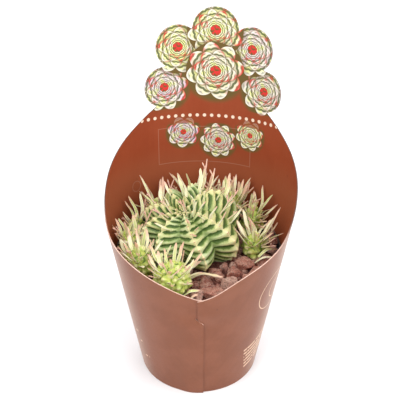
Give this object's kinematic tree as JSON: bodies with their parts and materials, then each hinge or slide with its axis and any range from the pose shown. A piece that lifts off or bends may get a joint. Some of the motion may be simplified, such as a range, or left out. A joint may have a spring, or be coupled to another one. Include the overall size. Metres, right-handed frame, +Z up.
{
  "type": "potted melon spurge in a card sleeve",
  "caption": "Ribbed melon spurge with side shoots, in a nursery pot with lava gravel, inside a flared card sleeve with a tall lobed back.",
  "frame": {"origin": "middle of the pot's flat base, where it stands", "axes": "+Z up, -Y towards the sleeve's low front with the seam, +X to the right seen from the front"},
  "size_m": [0.1163, 0.1266, 0.2145],
  "materials": {
    "card": "satin printed card",
    "pot_plastic": "satin black",
    "soil": "dry crumbly peat mix",
    "lava": "rough red lava stone",
    "flesh": "waxy green and cream flesh"
  },
  "bodies": {
    "root": {"sleeve": "card", "pot": "pot_plastic", "soil": "soil", "gravel": "lava", "melon_head": "flesh", "head_front": "flesh", "head_front_left": "flesh", "head_left": "flesh", "head_left_back": "flesh", "head_back_left": "flesh", "head_back": "flesh", "head_back_right": "flesh", "head_right_back": "flesh", "head_right": "flesh"}
  },
  "joints": []
}
